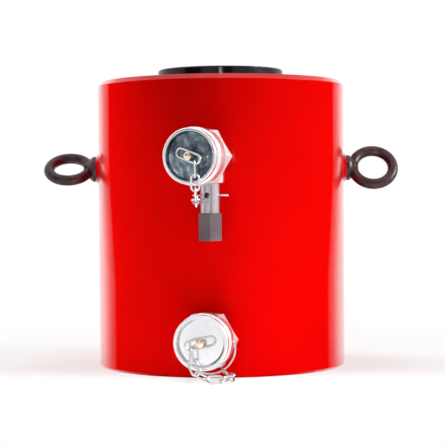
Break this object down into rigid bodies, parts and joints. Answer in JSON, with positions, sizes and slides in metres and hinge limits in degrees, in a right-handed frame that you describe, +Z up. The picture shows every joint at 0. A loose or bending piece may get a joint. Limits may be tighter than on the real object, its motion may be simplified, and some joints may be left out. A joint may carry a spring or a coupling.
{
  "type": "double-acting hydraulic cylinder",
  "caption": "Short heavy hydraulic cylinder with a plunger driven both ways, lifting eyes, capped oil couplers and a relief valve.",
  "frame": {"origin": "centre of the base's bottom face, where the cylinder stands", "axes": "+Z up along the plunger's stroke, -Y to the side with the two oil couplers, +X and -X through the lifting eyes"},
  "size_m": [0.2396, 0.2151, 0.198],
  "materials": {
    "red_paint": "gloss enamel",
    "black_oxide": "blackened, oiled",
    "machined_steel": "turned",
    "hard_chrome": "ground and chromed",
    "bright_plate": "bright nickel plate",
    "grey_steel": "satin phosphate grey",
    "spring_steel": "bright drawn wire",
    "bronze": "turned bronze",
    "brass": "polished brass",
    "seal_polyurethane": "smooth",
    "seal_rubber": "smooth"
  },
  "bodies": {
    "barrel": {"cylinder_body": "red_paint", "lifting_bosses": "red_paint", "eye_bolts": "black_oxide", "gland": "machined_steel", "gland_ring_nut": "black_oxide", "rod_bearing": "bronze", "rod_seal": "seal_polyurethane", "rod_wiper": "seal_polyurethane", "gland_seal": "seal_rubber", "upper_tee_adapter": "bright_plate", "relief_valve_body": "grey_steel", "relief_valve_cap": "grey_steel", "relief_spring": "spring_steel", "chain_anchor": "spring_steel", "upper_coupler": "bright_plate", "upper_port_washer": "machined_steel", "upper_check_spring": "spring_steel", "upper_cap_rivet": "brass", "upper_cap_loop": "spring_steel", "lower_coupler": "bright_plate", "lower_port_washer": "machined_steel", "lower_check_spring": "spring_steel", "lower_cap_rivet": "brass", "lower_cap_loop": "spring_steel", "upper_chain": "spring_steel", "lower_chain": "spring_steel", "lower_chain_ring": "spring_steel"},
    "plunger": {"plunger": "hard_chrome", "piston": "machined_steel", "piston_nut": "machined_steel", "piston_wear_band": "bronze", "piston_seal": "seal_polyurethane", "saddle": "black_oxide", "saddle_screw": "black_oxide"},
    "upper_cap": {"upper_dust_cap": "bright_plate"},
    "lower_cap": {"lower_dust_cap": "bright_plate"},
    "upper_check": {"upper_check_poppet": "machined_steel"},
    "lower_check": {"lower_check_poppet": "machined_steel"},
    "relief": {"relief_poppet": "machined_steel"}
  },
  "joints": [
    {"name": "plunger_stroke", "type": "slide", "parent": "barrel", "child": "plunger", "axis": [0, 0, 1], "range_m": [0, 0.05]},
    {"name": "upper_cap_turn", "type": "hinge", "parent": "barrel", "child": "upper_cap", "pos_m": [-0.01909, -0.12499, 0.1375], "axis": [-0.342, -0.9397, 0], "continuous": true},
    {"name": "lower_cap_turn", "type": "hinge", "parent": "barrel", "child": "lower_cap", "pos_m": [-0.01325, -0.11, 0.0245], "axis": [-0.2079, -0.9781, 0], "continuous": true},
    {"name": "upper_check_travel", "type": "slide", "parent": "barrel", "child": "upper_check", "axis": [0.342, 0.9397, 0], "range_m": [0, 0.003], "stiffness_N_per_m": 900, "springref_m": -0.004, "deforming": ["upper_check_spring"]},
    {"name": "lower_check_travel", "type": "slide", "parent": "barrel", "child": "lower_check", "axis": [0.2079, 0.9781, 0], "range_m": [0, 0.003], "stiffness_N_per_m": 900, "springref_m": -0.004, "deforming": ["lower_check_spring"]},
    {"name": "relief_lift", "type": "slide", "parent": "barrel", "child": "relief", "axis": [0, 0, -1], "range_m": [0, 0.001], "stiffness_N_per_m": 4000, "springref_m": -0.003, "deforming": ["relief_spring"]}
  ]
}
